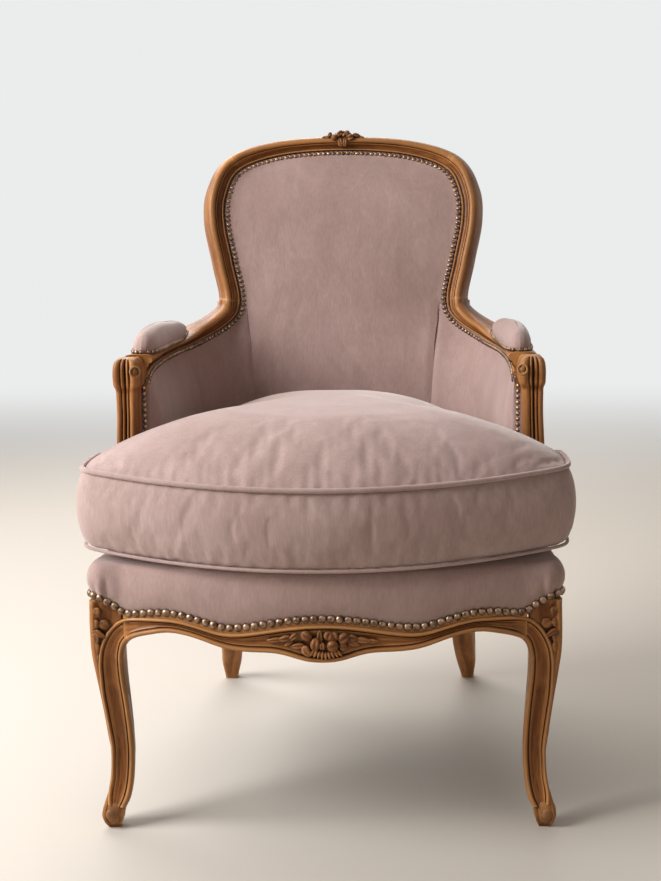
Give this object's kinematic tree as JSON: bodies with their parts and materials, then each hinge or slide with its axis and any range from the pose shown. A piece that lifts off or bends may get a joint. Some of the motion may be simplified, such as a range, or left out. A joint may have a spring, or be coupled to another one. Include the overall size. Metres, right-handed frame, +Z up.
{
  "type": "bergere armchair",
  "caption": "Upholstered bergere armchair with closed padded arms, a moulded and carved walnut show frame on cabriole legs, and a loose T-shaped seat cushion.",
  "frame": {"origin": "on the floor, under the middle of the chair's overall width and depth", "axes": "+Z up, the seat faces -Y, and +X is to the right of someone who faces the chair's front"},
  "size_m": [0.692, 0.7892, 1.005],
  "materials": {
    "walnut": "satin",
    "bare_wood": "matte",
    "velvet": "matte",
    "jute": "matte",
    "hair": "matte",
    "filling": "matte",
    "brass": "antiqued",
    "steel": "satin",
    "black_cloth": "matte"
  },
  "bodies": {
    "chair": {"front_rail": "walnut", "front_leg_right": "walnut", "front_leg_left": "walnut", "side_rail_right": "walnut", "side_rail_left": "walnut", "rear_seat_rail": "walnut", "back_post_right": "walnut", "back_post_left": "walnut", "crest_rail": "walnut", "arm_rail_right": "walnut", "arm_rail_left": "walnut", "arm_post_right": "walnut", "arm_post_left": "walnut", "lower_back_rail": "bare_wood", "arm_tacking_rail_right": "bare_wood", "arm_tacking_rail_left": "bare_wood", "front_corner_block_right": "bare_wood", "front_corner_block_left": "bare_wood", "rear_corner_block_right": "bare_wood", "rear_corner_block_left": "bare_wood", "back_webbing": "jute", "back_hessian": "jute", "back_stuffing": "hair", "back_cover": "velvet", "arm_webbing_right": "jute", "arm_webbing_left": "jute", "arm_stuffing_right": "hair", "arm_stuffing_left": "hair", "arm_cover_right": "velvet", "arm_cover_left": "velvet", "outside_back_cover": "velvet", "outside_arm_cover_right": "velvet", "outside_arm_cover_left": "velvet", "arm_rest_stuffing_right": "hair", "arm_rest_stuffing_left": "hair", "arm_rest_cover_right": "velvet", "arm_rest_cover_left": "velvet", "arm_rest_nails_right": "brass", "arm_rest_nails_left": "brass", "dust_cover": "black_cloth", "seat_webbing": "jute", "seat_spring_1": "steel", "seat_spring_2": "steel", "seat_spring_3": "steel", "seat_spring_4": "steel", "seat_spring_5": "steel", "seat_spring_6": "steel", "spring_lashing": "jute", "seat_hessian": "jute", "seat_stuffing": "hair", "deck_cover": "velvet", "inside_nails": "brass", "seat_nails": "brass"},
    "cushion": {"cushion_filling": "filling", "cushion_top": "velvet", "cushion_bottom": "velvet", "cushion_border": "velvet", "cushion_top_piping": "velvet", "cushion_bottom_piping": "velvet"}
  },
  "joints": [
    {"name": "cushion_lift", "type": "slide", "parent": "chair", "child": "cushion", "axis": [0, 0, 1], "range_m": [0, 0.35]}
  ]
}
